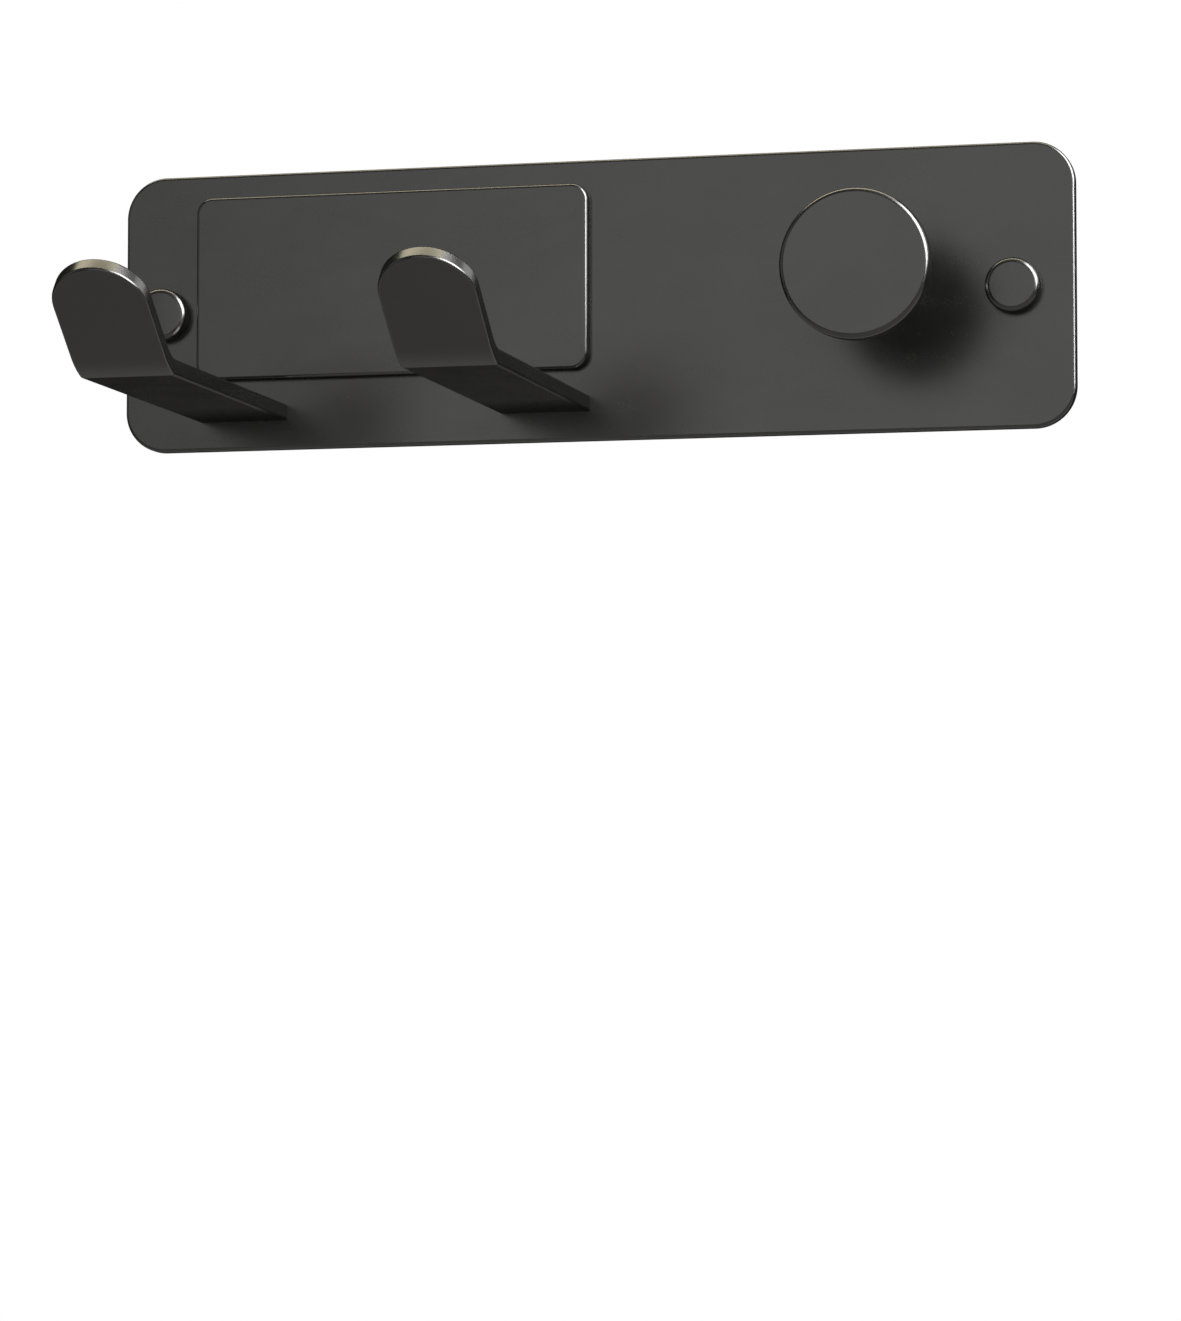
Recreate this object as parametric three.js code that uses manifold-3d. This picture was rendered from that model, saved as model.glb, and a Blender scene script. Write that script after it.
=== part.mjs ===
// A wall-mounted hair dryer holder.
//
// A long plate lies flat on the wall. Two bent arms carry the dryer's head, and its handle
// hangs in the gap between them. A raised panel on the plate stands behind the head. At the
// right a post with a disc on its end carries the coiled cable. Two wall screws hold the
// plate, each under a round cap that clips on to a base washer and pulls straight off.
//
// Units are millimetres. The origin is the centre of the plate's wall face. +X runs to the
// right as seen from the room, -Y points into the room and +Z is up.

import * as THREE from 'three';
import { mergeVertices } from 'three/addons/utils/BufferGeometryUtils.js';
import Module from 'manifold-3d';

const wasm = await Module();
wasm.setup();

// ---------------------------------------------------------------- driving dimensions

// The back plate.
const PLATE_WIDTH = 235;
const PLATE_HEIGHT = 68;
const PLATE_THICKNESS = 3;
const PLATE_CORNER_RADIUS = 10;
const PLATE_EDGE_ROUND = 0.8;

// The two arms: flat bar, bent up and outward, its end cut to a half circle. Reach is from
// the plate's face to where the undersides of the bar and of its tab would meet unbent.
const ARM_WIDTH = 22.5;
const ARM_THICKNESS = 4;
const ARM_REACH = 89;
const ARM_TAB_LENGTH = 32;
const ARM_TAB_SLOPE = THREE.MathUtils.degToRad(40);
const ARM_OUTER_BEND = 14.5;
const ARM_INNER_BEND = ARM_OUTER_BEND - ARM_THICKNESS;
const ARM_EDGE_ROUND = 0.8;
const ARM_BOTTOM_Z = -27;
const RIGHT_ARM_X = -11.25;
const ARM_PITCH = 76;

// The rest panel and the adhesive film behind it.
const PANEL_WIDTH = ARM_PITCH + ARM_WIDTH;
const PANEL_HEIGHT = 45;
const PANEL_BOTTOM_Z = -17;
const PANEL_STAND_OFF = 3;
const PANEL_CORNER_RADIUS = 4;
const PANEL_EDGE_ROUND = 0.8;
const TAPE_THICKNESS = 0.3;
const TAPE_MARGIN = 1.5;

// The cord post and its disc.
const POST_X = 72.5;
const POST_DIAMETER = 10;
const POST_END_CHAMFER = 0.5;
const KNOB_DIAMETER = 35;
const KNOB_THICKNESS = 5;
const KNOB_RIM_ROUND = 1.1;
const KNOB_BACK_ROUND = 0.5;
const KNOB_FRONT = 43;
const STUD_LENGTH = 12;
const STUD_IN_KNOB = 3;
const STUD_END_GAP = 0.5;
const STUD_END_CHAMFER = 0.4;

// The wall fixings: screw, plug, base washer and cap.
const LEFT_FIXING_X = -107.5;
const RIGHT_FIXING_X = 103;
const FIXING_Z = -0.5;
const CAP_DIAMETER = 13;
const CAP_HEIGHT = 4.5;
const CAP_RIM_ROUND = 1.4;
const CAP_WALL = 0.85;
const CAP_GAP = 0.1;
const CAP_MOUTH_CHAMFER = 0.2;
const CAP_STEP_GAP = 0.3;
const CAP_HEAD_CLEARANCE = 0.7;
const BASE_DIAMETER = 11.1;
const BASE_THICKNESS = 1.2;
const BASE_BEAD = 0.3;
const WALL_HOLE_DIAMETER = 4.6;
const WALL_SCREW_DIAMETER = 4;
const WALL_SCREW_LENGTH = 35;
const WALL_SCREW_HEAD_DIAMETER = 7.6;
const WALL_SCREW_HEAD_HEIGHT = 2.2;
const WALL_SCREW_HEAD_ROUND = 1.3;
const WALL_SCREW_POINT = 5;
const CROSS_RECESS = { width: 1.1, length: 4.6, depth: 1.3 };
const PLUG_DIAMETER = 6;
const PLUG_LENGTH = 26;
const PLUG_DEPTH_IN_WALL = 2.5;
const PLUG_SLIT_WIDTH = 1;
const PLUG_SLIT_LENGTH = 18;
const PLUG_RIDGE_PITCH = 3;
const PLUG_RIDGE_DEPTH = 0.45;
const PLUG_RIDGE_FOOT = 0.4;

// Countersunk screws from behind: two in each arm and one in the post.
const ARM_SCREW = { diameter: 2.5, head: 4.7, length: 11, socket: 1.5 };
const ARM_SCREW_PITCH = 12;
const POST_SCREW = { diameter: 4, head: 7.4, length: 15, socket: 2.5 };
const HEAD_SINK = 0.15;
const HEAD_RIM = 0.2;
const SCREW_CLEARANCE = 0.2;
const THREAD_CLEARANCE = 0.05;

// How finely curves are divided.
const LARGE_ROUND = 64;
const MEDIUM_ROUND = 36;
const SMALL_ROUND = 20;
const CORNER_STEPS = 8;
const RIM_STEPS = 4;
const EDGE_STEPS = 3;

// How far a cutter runs past the face that it cuts, and how near two points are one.
const OVERCUT = 1;
const SAME_POINT = 1e-4;

const POST_LENGTH = KNOB_FRONT - KNOB_THICKNESS;
const QUARTER = Math.PI / 2;

// ---------------------------------------------------------------- materials

function finish(color, roughness, metalness) {
  return new THREE.MeshStandardMaterial({ color, roughness, metalness });
}

const blackCoat = () => finish(0x2c2c2b, 0.42, 0.55);
const zincSteel = () => finish(0xb4b5b3, 0.3, 0.95);
const blackSteel = () => finish(0x1d1d1f, 0.38, 0.85);
const greyNylon = () => finish(0x9a9c9e, 0.55, 0);
const clearTape = () => finish(0xe6e2d6, 0.6, 0);

// ---------------------------------------------------------------- shape helpers

// A closed geometry as a solid that can be joined and cut.
function toSolid(geometry) {
  const bare = geometry.clone();
  bare.deleteAttribute('normal');
  bare.deleteAttribute('uv');
  const merged = mergeVertices(bare, SAME_POINT);
  const triVerts = new Uint32Array(merged.index.array);
  const vertProperties = new Float32Array(merged.attributes.position.array);
  return new wasm.Manifold(new wasm.Mesh({ numProp: 3, vertProperties, triVerts }));
}

// A solid as a geometry with flat-shaded faces.
function toGeometry(solid) {
  const mesh = solid.getMesh();
  const geometry = new THREE.BufferGeometry();
  geometry.setAttribute('position', new THREE.BufferAttribute(mesh.vertProperties, 3));
  geometry.setIndex(new THREE.BufferAttribute(mesh.triVerts, 1));
  const flat = geometry.toNonIndexed();
  flat.computeVertexNormals();
  return flat;
}

// One body less the cutters.
function cut(geometry, cutters) {
  const whole = toSolid(geometry);
  return toGeometry(cutters.reduce((body, cutter) => body.subtract(toSolid(cutter)), whole));
}

// A closed outline through corners given as [x, y, radius], each corner an arc.
function outline(corners) {
  const shape = new THREE.Shape();
  const count = corners.length;
  corners.forEach(([x, y, radius], i) => {
    const corner = new THREE.Vector2(x, y);
    if (!radius) {
      if (i === 0) shape.moveTo(x, y);
      else shape.lineTo(x, y);
      return;
    }
    const before = new THREE.Vector2(...corners[(i + count - 1) % count]);
    const after = new THREE.Vector2(...corners[(i + 1) % count]);
    const back = before.sub(corner).normalize();
    const ahead = after.sub(corner).normalize();
    const half = Math.acos(THREE.MathUtils.clamp(back.dot(ahead), -1, 1)) / 2;
    const reach = radius / Math.tan(half);
    const middle = back.clone().add(ahead).normalize();
    const centre = corner.clone().addScaledVector(middle, radius / Math.sin(half));
    const start = corner.clone().addScaledVector(back, reach).sub(centre);
    const end = corner.clone().addScaledVector(ahead, reach).sub(centre);
    const clockwise = back.cross(ahead) > 0;
    const arcStart = centre.clone().add(start);
    if (i === 0) shape.moveTo(arcStart.x, arcStart.y);
    else shape.lineTo(arcStart.x, arcStart.y);
    shape.absarc(centre.x, centre.y, radius, start.angle(), end.angle(), clockwise);
  });
  return shape;
}

// A rectangle with round corners, its centre at x, y.
function roundedRectangle(x, y, width, height, radius) {
  const right = x + width / 2;
  const top = y + height / 2;
  const left = x - width / 2;
  const bottom = y - height / 2;
  return outline([
    [left, bottom, radius],
    [right, bottom, radius],
    [right, top, radius],
    [left, top, radius],
  ]);
}

// A flat sheet that stands in the XZ plane. Its back is at y = 0 with a sharp edge, and its
// front is at y = -thickness with a round edge.
function sheet(shape, thickness, edgeRound) {
  const geometry = new THREE.ExtrudeGeometry(shape, {
    depth: thickness,
    curveSegments: CORNER_STEPS,
    bevelEnabled: true,
    bevelThickness: edgeRound,
    bevelSize: edgeRound,
    bevelOffset: -edgeRound,
    bevelSegments: EDGE_STEPS,
  });
  geometry.translate(0, 0, -edgeRound);
  geometry.rotateX(QUARTER);
  const { min, max } = sizeOf(geometry);
  const wide = max.x - min.x + 2 * OVERCUT;
  const high = max.z - min.z + 2 * OVERCUT;
  const behind = new THREE.BoxGeometry(wide, 4 * OVERCUT, high);
  behind.translate((min.x + max.x) / 2, 2 * OVERCUT, (min.z + max.z) / 2);
  return cut(geometry, [behind]);
}

function sizeOf(geometry) {
  geometry.computeBoundingBox();
  return geometry.boundingBox;
}

// A body of revolution about the Y axis, through points given as [radius, y] from the low
// end of the axis to the high end.
function turned(points, segments) {
  const profile = points.map(([radius, y]) => new THREE.Vector2(radius, y));
  return new THREE.LatheGeometry(profile, segments);
}

// Points of an arc in a turned profile, from angle start to angle end.
function arc(centreRadius, centreY, radius, start, end, steps) {
  const points = [];
  for (let i = 0; i <= steps; i += 1) {
    const angle = start + ((end - start) * i) / steps;
    points.push([
      centreRadius + radius * Math.cos(angle),
      centreY + radius * Math.sin(angle),
    ]);
  }
  return points;
}

// The round rim of a disc whose flat front is at y = -height.
function frontRim(discRadius, height, rimRound) {
  return arc(discRadius - rimRound, rimRound - height, rimRound, -QUARTER, 0, RIM_STEPS);
}

// A rod along Y from y = low to y = high.
function rod(diameter, low, high, segments) {
  const geometry = new THREE.CylinderGeometry(diameter / 2, diameter / 2, high - low, segments);
  geometry.translate(0, (low + high) / 2, 0);
  return geometry;
}

// A hexagon socket that opens at y = mouth and goes depth towards -Y.
function hexSocket(acrossFlats, mouth, depth) {
  const acrossCorners = acrossFlats / Math.cos(Math.PI / 6);
  return rod(acrossCorners, mouth - depth, mouth + OVERCUT, 6);
}

// A countersunk screw whose head faces +Y at y = -HEAD_SINK and whose shank runs to -Y.
function countersunkScrew({ diameter, head, length, socket }) {
  const radius = diameter / 2;
  const headRadius = head / 2;
  const face = -HEAD_SINK;
  const coneEnd = face - HEAD_RIM - (headRadius - radius);
  const tip = face - length;
  const tipChamfer = radius / 4;
  const body = turned(
    [
      [0, tip],
      [radius - tipChamfer, tip],
      [radius, tip + tipChamfer],
      [radius, coneEnd],
      [headRadius, face - HEAD_RIM],
      [headRadius, face],
      [0, face],
    ],
    SMALL_ROUND,
  );
  return cut(body, [hexSocket(socket, face, radius)]);
}

// The hole that a countersunk screw needs through the plate.
function countersink({ diameter, head }) {
  const radius = diameter / 2 + SCREW_CLEARANCE;
  const headRadius = head / 2 + SCREW_CLEARANCE;
  const coneStart = -HEAD_SINK - HEAD_RIM;
  return turned(
    [
      [0, -PLATE_THICKNESS - OVERCUT],
      [radius, -PLATE_THICKNESS - OVERCUT],
      [radius, coneStart - (headRadius - radius)],
      [headRadius, coneStart],
      [headRadius, OVERCUT],
      [0, OVERCUT],
    ],
    SMALL_ROUND,
  );
}

// ---------------------------------------------------------------- the pieces' places

const armCentres = [RIGHT_ARM_X - ARM_PITCH, RIGHT_ARM_X];
const armScrewOffsets = [-ARM_SCREW_PITCH / 2, ARM_SCREW_PITCH / 2];
const armMiddleZ = ARM_BOTTOM_Z + ARM_THICKNESS / 2;

// ---------------------------------------------------------------- back plate

function backPlate() {
  const shape = roundedRectangle(0, 0, PLATE_WIDTH, PLATE_HEIGHT, PLATE_CORNER_RADIUS);
  const holes = [];
  for (const centre of armCentres) {
    for (const offset of armScrewOffsets) {
      holes.push(countersink(ARM_SCREW).translate(centre + offset, 0, armMiddleZ));
    }
  }
  holes.push(countersink(POST_SCREW).translate(POST_X, 0, 0));
  for (const x of [LEFT_FIXING_X, RIGHT_FIXING_X]) {
    const hole = rod(WALL_HOLE_DIAMETER, -PLATE_THICKNESS - OVERCUT, OVERCUT, SMALL_ROUND);
    holes.push(hole.translate(x, 0, FIXING_Z));
  }
  return cut(sheet(shape, PLATE_THICKNESS, PLATE_EDGE_ROUND), holes);
}

// ---------------------------------------------------------------- arms

// The bar seen from its side, first coordinate out from the plate and second up from the
// bar's underside. The root runs on into the plate, and is cut off at its face.
function armSide() {
  const root = -2 * ARM_EDGE_ROUND;
  const run = Math.cos(ARM_TAB_SLOPE);
  const rise = Math.sin(ARM_TAB_SLOPE);
  const innerCorner = ARM_REACH - ARM_THICKNESS * Math.tan(ARM_TAB_SLOPE / 2);
  const tipOut = ARM_REACH + ARM_TAB_LENGTH * run;
  const tipUp = ARM_TAB_LENGTH * rise;
  return outline([
    [root, 0, 0],
    [ARM_REACH, 0, ARM_OUTER_BEND],
    [tipOut, tipUp, 0],
    [tipOut - ARM_THICKNESS * rise, tipUp + ARM_THICKNESS * run, 0],
    [innerCorner, ARM_THICKNESS, ARM_INNER_BEND],
    [root, ARM_THICKNESS, 0],
  ]);
}

// What is cut away round the half circle at the tab's end. It is drawn in the tab's plane
// with x along the tab, and turned into the bar's side view.
function tabEndCutter() {
  const radius = ARM_WIDTH / 2;
  const centre = ARM_TAB_LENGTH - radius;
  const far = ARM_TAB_LENGTH + 2 * OVERCUT;
  const wide = radius + 2 * OVERCUT;
  const shape = new THREE.Shape();
  shape.moveTo(centre, -wide);
  shape.lineTo(far, -wide);
  shape.lineTo(far, wide);
  shape.lineTo(centre, wide);
  shape.lineTo(centre, radius);
  shape.absarc(centre, 0, radius, QUARTER, -QUARTER, true);
  const depth = ARM_THICKNESS + 2 * OVERCUT;
  const geometry = new THREE.ExtrudeGeometry(shape, {
    depth,
    curveSegments: SMALL_ROUND,
    bevelEnabled: false,
  });
  geometry.translate(0, 0, -depth + OVERCUT);
  geometry.rotateX(QUARTER);
  geometry.rotateZ(ARM_TAB_SLOPE);
  geometry.translate(ARM_REACH, 0, 0);
  return geometry;
}

// One arm. Its root is centred on x = 0 at the plate's face, y = 0, with its underside at
// z = 0, and it reaches towards -Y.
function arm() {
  const inset = ARM_EDGE_ROUND;
  const bar = new THREE.ExtrudeGeometry(armSide(), {
    depth: ARM_WIDTH - 2 * inset,
    curveSegments: CORNER_STEPS,
    bevelEnabled: true,
    bevelThickness: inset,
    bevelSize: inset,
    bevelOffset: -inset,
    bevelSegments: EDGE_STEPS,
  });
  bar.translate(0, 0, inset - ARM_WIDTH / 2);
  const tall = ARM_THICKNESS + 2 * OVERCUT;
  const insidePlate = new THREE.BoxGeometry(tall, tall, ARM_WIDTH + 2 * OVERCUT);
  insidePlate.translate(-tall / 2, ARM_THICKNESS / 2, 0);
  const cutters = [insidePlate, tabEndCutter()];
  for (const offset of armScrewOffsets) {
    const deep = ARM_SCREW.length - PLATE_THICKNESS + OVERCUT;
    const hole = rod(ARM_SCREW.diameter + 2 * THREAD_CLEARANCE, -deep, OVERCUT, SMALL_ROUND);
    hole.rotateZ(QUARTER);
    cutters.push(hole.translate(0, ARM_THICKNESS / 2, offset));
  }
  return cut(bar, cutters).rotateX(QUARTER).rotateZ(-QUARTER);
}

// ---------------------------------------------------------------- rest panel

// Panel and tape share a local origin at the panel's centre, on the face they lie on.
function restPanel() {
  const shape = roundedRectangle(0, 0, PANEL_WIDTH, PANEL_HEIGHT, PANEL_CORNER_RADIUS);
  return sheet(shape, PANEL_STAND_OFF - TAPE_THICKNESS, PANEL_EDGE_ROUND);
}

function panelTape() {
  const width = PANEL_WIDTH - 2 * TAPE_MARGIN;
  const height = PANEL_HEIGHT - 2 * TAPE_MARGIN;
  const radius = PANEL_CORNER_RADIUS - TAPE_MARGIN;
  const geometry = new THREE.ExtrudeGeometry(roundedRectangle(0, 0, width, height, radius), {
    depth: TAPE_THICKNESS,
    curveSegments: CORNER_STEPS,
    bevelEnabled: false,
  });
  return geometry.rotateX(QUARTER);
}

// ---------------------------------------------------------------- cord post and knob

// The post stands on the plate's face at y = 0 and has a threaded hole in each end.
function cordPost() {
  const radius = POST_DIAMETER / 2;
  const hole = POST_SCREW.diameter / 2 + THREAD_CLEARANCE;
  const screwHole = -(POST_SCREW.length - PLATE_THICKNESS + OVERCUT);
  const studHole = -POST_LENGTH + STUD_LENGTH - STUD_IN_KNOB;
  return turned(
    [
      [0, studHole],
      [hole, studHole],
      [hole, -POST_LENGTH],
      [radius - POST_END_CHAMFER, -POST_LENGTH],
      [radius, -POST_LENGTH + POST_END_CHAMFER],
      [radius, 0],
      [hole, 0],
      [hole, screwHole],
      [0, screwHole],
    ],
    MEDIUM_ROUND,
  );
}

// The disc's back is at y = 0, with a blind threaded hole for the stud.
function cordKnob() {
  const radius = KNOB_DIAMETER / 2;
  const hole = POST_SCREW.diameter / 2 + THREAD_CLEARANCE;
  const holeEnd = -STUD_IN_KNOB - STUD_END_GAP;
  return turned(
    [
      [0, -KNOB_THICKNESS],
      ...frontRim(radius, KNOB_THICKNESS, KNOB_RIM_ROUND),
      ...arc(radius - KNOB_BACK_ROUND, -KNOB_BACK_ROUND, KNOB_BACK_ROUND, 0, QUARTER, 2),
      [hole, 0],
      [hole, holeEnd],
      [0, holeEnd],
    ],
    LARGE_ROUND,
  );
}

// The headless stud, with y = 0 where the post meets the knob.
function knobStud() {
  const radius = POST_SCREW.diameter / 2;
  const endRadius = radius - STUD_END_CHAMFER;
  const front = -STUD_IN_KNOB;
  const back = STUD_LENGTH - STUD_IN_KNOB - STUD_END_GAP;
  return turned(
    [
      [0, front],
      [endRadius, front],
      [radius, front + STUD_END_CHAMFER],
      [radius, back - STUD_END_CHAMFER],
      [endRadius, back],
      [0, back],
    ],
    SMALL_ROUND,
  );
}

// ---------------------------------------------------------------- wall fixings

// All of these are turned about the wall hole's axis, with y = 0 at the plate's face.

// The base washer: a disc with a bead round its edge that the cap clips over.
function capBase() {
  const radius = BASE_DIAMETER / 2;
  const hole = WALL_HOLE_DIAMETER / 2;
  return turned(
    [
      [hole, -BASE_THICKNESS],
      [radius - BASE_BEAD, -BASE_THICKNESS],
      [radius, -BASE_THICKNESS + BASE_BEAD],
      [radius, -BASE_BEAD],
      [radius - BASE_BEAD, 0],
      [hole, 0],
      [hole, -BASE_THICKNESS],
    ],
    MEDIUM_ROUND,
  );
}

// The cap: a cup that clips over the base and clears the screw's head.
function screwCap() {
  const radius = CAP_DIAMETER / 2;
  const mouth = BASE_DIAMETER / 2 + CAP_GAP;
  const recess = WALL_SCREW_HEAD_DIAMETER / 2 + CAP_HEAD_CLEARANCE;
  const step = -BASE_THICKNESS - CAP_STEP_GAP;
  const ceiling = -CAP_HEIGHT + CAP_WALL;
  return turned(
    [
      [0, -CAP_HEIGHT],
      ...frontRim(radius, CAP_HEIGHT, CAP_RIM_ROUND),
      [radius, -CAP_GAP - CAP_MOUTH_CHAMFER],
      [radius - CAP_MOUTH_CHAMFER, -CAP_GAP],
      [mouth, -CAP_GAP],
      [mouth, step],
      [recess, step],
      [recess, ceiling],
      [0, ceiling],
    ],
    MEDIUM_ROUND,
  );
}

// The wall screw: a round-rimmed head on the base, a shank through the plate, and a point.
function wallScrew() {
  const radius = WALL_SCREW_DIAMETER / 2;
  const headRadius = WALL_SCREW_HEAD_DIAMETER / 2;
  const seat = -BASE_THICKNESS;
  const top = seat - WALL_SCREW_HEAD_HEIGHT;
  const tip = seat + WALL_SCREW_LENGTH;
  const body = turned(
    [
      [0, top],
      ...frontRim(headRadius, -top, WALL_SCREW_HEAD_ROUND),
      [headRadius, seat],
      [radius, seat],
      [radius, tip - WALL_SCREW_POINT],
      [0, tip],
    ],
    SMALL_ROUND,
  );
  const { width, length, depth } = CROSS_RECESS;
  const bar = new THREE.BoxGeometry(length, depth + OVERCUT, width);
  bar.translate(0, top + (depth - OVERCUT) / 2, 0);
  return cut(body, [bar, bar.clone().rotateY(QUARTER)]);
}

// The plastic plug round the screw: ridges outside, a bore inside and a slit from its far
// end, set a little deeper than the wall's surface.
function wallPlug() {
  const outer = PLUG_DIAMETER / 2;
  const bore = WALL_SCREW_DIAMETER / 2 + THREAD_CLEARANCE;
  const near = PLATE_THICKNESS + PLUG_DEPTH_IN_WALL;
  const far = near + PLUG_LENGTH;
  const points = [
    [bore, near],
    [outer, near],
    [outer, near + PLUG_RIDGE_PITCH],
  ];
  for (let y = near + PLUG_RIDGE_PITCH; y < far - PLUG_RIDGE_PITCH; y += PLUG_RIDGE_PITCH) {
    points.push([outer - PLUG_RIDGE_DEPTH, y + PLUG_RIDGE_FOOT]);
    points.push([outer, y + PLUG_RIDGE_PITCH]);
  }
  points.push([outer - PLUG_RIDGE_DEPTH, far]);
  points.push([bore, far]);
  points.push([bore, near]);
  const across = PLUG_DIAMETER + 2 * OVERCUT;
  const along = PLUG_SLIT_LENGTH + OVERCUT;
  const slit = new THREE.BoxGeometry(across, along, PLUG_SLIT_WIDTH);
  slit.translate(0, far + OVERCUT - along / 2, 0);
  return cut(turned(points, SMALL_ROUND), [slit]);
}

// ---------------------------------------------------------------- assembly

function piece(name, geometry, material, x = 0, y = 0, z = 0) {
  const mesh = new THREE.Mesh(geometry, material);
  mesh.name = name;
  mesh.position.set(x, y, z);
  return mesh;
}

const holder = new THREE.Group();
holder.add(piece('back_plate', backPlate(), blackCoat()));

// Everything in this group is measured from the plate's front face.
const onPlate = new THREE.Group();
onPlate.position.y = -PLATE_THICKNESS;
holder.add(onPlate);

const sides = ['left', 'right'];

sides.forEach((side, i) => {
  const group = new THREE.Group();
  group.position.set(armCentres[i], 0, ARM_BOTTOM_Z);
  group.add(piece(`${side}_arm`, arm(), blackCoat()));
  const places = side === 'left' ? ['outer', 'inner'] : ['inner', 'outer'];
  places.forEach((place, j) => {
    const name = `${side}_arm_screw_${place}`;
    const screw = countersunkScrew(ARM_SCREW);
    const x = armScrewOffsets[j];
    group.add(piece(name, screw, blackSteel(), x, PLATE_THICKNESS, ARM_THICKNESS / 2));
  });
  onPlate.add(group);
});

const panelGroup = new THREE.Group();
panelGroup.position.set(
  RIGHT_ARM_X - ARM_PITCH / 2,
  0,
  PANEL_BOTTOM_Z + PANEL_HEIGHT / 2,
);
panelGroup.add(piece('rest_panel_tape', panelTape(), clearTape()));
panelGroup.add(piece('rest_panel', restPanel(), blackCoat(), 0, -TAPE_THICKNESS));
onPlate.add(panelGroup);

const cordGroup = new THREE.Group();
cordGroup.position.x = POST_X;
cordGroup.add(piece('cord_post', cordPost(), blackCoat()));
cordGroup.add(piece('cord_knob', cordKnob(), blackCoat(), 0, -POST_LENGTH));
cordGroup.add(piece('cord_knob_stud', knobStud(), zincSteel(), 0, -POST_LENGTH));
const postScrew = countersunkScrew(POST_SCREW);
cordGroup.add(piece('cord_post_screw', postScrew, blackSteel(), 0, PLATE_THICKNESS));
onPlate.add(cordGroup);

[LEFT_FIXING_X, RIGHT_FIXING_X].forEach((x, i) => {
  const group = new THREE.Group();
  group.position.set(x, 0, FIXING_Z);
  group.add(piece(`${sides[i]}_cap_base`, capBase(), zincSteel()));
  group.add(piece(`${sides[i]}_screw_cap`, screwCap(), blackCoat()));
  group.add(piece(`${sides[i]}_wall_screw`, wallScrew(), zincSteel()));
  group.add(piece(`${sides[i]}_wall_plug`, wallPlug(), greyNylon()));
  onPlate.add(group);
});

export default holder;
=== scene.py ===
import math

import bmesh
import bpy
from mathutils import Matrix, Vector


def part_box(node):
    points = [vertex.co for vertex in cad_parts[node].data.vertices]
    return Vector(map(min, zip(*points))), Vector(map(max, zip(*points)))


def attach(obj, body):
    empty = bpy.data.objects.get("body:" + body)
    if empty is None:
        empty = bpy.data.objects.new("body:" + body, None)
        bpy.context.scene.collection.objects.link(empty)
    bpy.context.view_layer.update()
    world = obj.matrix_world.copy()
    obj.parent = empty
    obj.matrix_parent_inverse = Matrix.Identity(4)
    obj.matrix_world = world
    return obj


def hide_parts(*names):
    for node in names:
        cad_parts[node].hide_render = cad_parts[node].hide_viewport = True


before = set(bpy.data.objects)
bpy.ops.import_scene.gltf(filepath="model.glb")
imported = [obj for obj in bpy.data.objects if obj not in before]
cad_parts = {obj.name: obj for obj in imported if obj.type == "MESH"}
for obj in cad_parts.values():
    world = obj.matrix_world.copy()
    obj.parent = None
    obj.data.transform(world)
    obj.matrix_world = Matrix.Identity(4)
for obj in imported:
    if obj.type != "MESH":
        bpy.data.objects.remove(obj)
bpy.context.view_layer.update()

# A wall-mounted hair dryer holder. Each part of the frame gets a fine surface of its own, in
# the same place, with round edges, real threads and a procedural finish.
#
# Lengths are in millimetres and become metres when a mesh is made. +X runs to the right as
# seen from the room, -Y points into the room and +Z is up.

MM = 0.001
QUARTER = math.pi / 2

# Sizes that a box of the frame doesn't give.
PLATE_CORNER_RADIUS = 10
PANEL_CORNER_RADIUS = 4
TAPE_CORNER_RADIUS = 2.5
FRONT_EDGE_ROUND = 0.8
BACK_EDGE_ROUND = 0.15
TAPE_EDGE_ROUND = 0.05

# The arm's top bends in one curve. Its underside turns by the crease's slope in a tight
# curve and by the rest of the tab's slope in a wide one.
ARM_THICKNESS = 4
ARM_TAB_SLOPE = math.radians(40)
ARM_INNER_BEND = 10.5
ARM_OUTER_BEND = 20
ARM_CREASE_BEND = 2
ARM_CREASE_SLOPE = math.radians(18)
ARM_EDGE_ROUND = 0.8

KNOB_RIM_ROUND = 1.25
KNOB_BACK_ROUND = 0.5
POST_END_ROUND = 0.5
STUD_IN_KNOB = 3
STUD_END_GAP = 0.5
STUD_CHAMFER = 0.3

CAP_RIM_ROUND = 1.4
CAP_MOUTH_ROUND = 0.2
CAP_INNER_ROUND = 0.3
CAP_WALL = 0.85
CAP_CLEARANCE = 0.1
CAP_STEP_GAP = 0.3
CAP_HEAD_CLEARANCE = 0.7
BASE_BEAD = 0.3
WALL_HOLE_DIAMETER = 4.6
WALL_SCREW_DIAMETER = 4
WALL_SCREW_HEAD_HEIGHT = 2.2
WALL_SCREW_HEAD_ROUND = 1.3
WALL_SCREW_POINT = 5
WALL_SCREW_HEAD_EDGE = 0.12
WALL_SCREW_PLAIN = 6
CROSS_REACH = 2.3
CROSS_DEPTH = 1.5
CROSS_POINT = 0.4
CROSS_CORNER = math.radians(15)
PLUG_RIDGE_PITCH = 3
PLUG_RIDGE_DEPTH = 0.45
PLUG_RIDGE_FOOT = 0.4
PLUG_BORE = 4.1
PLUG_LIP = 0.3
PLUG_SLIT_WIDTH = 1
PLUG_SLIT_LENGTH = 18

# Machine screws, by the diameter of the thread.
M2_5 = {"diameter": 2.5, "pitch": 0.45, "head": 4.7, "socket": 1.5}
M4 = {"diameter": 4, "pitch": 0.7, "head": 7.4, "socket": 2.5}
HEAD_SINK = 0.15
HEAD_RIM = 0.2
HEAD_EDGE = 0.08
SOCKET_POINT = 0.3
TIP_CHAMFER = 0.2
NECK_LENGTH = 0.2
SCREW_CLEARANCE = 0.2
THREAD_CLEARANCE = 0.05

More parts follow.
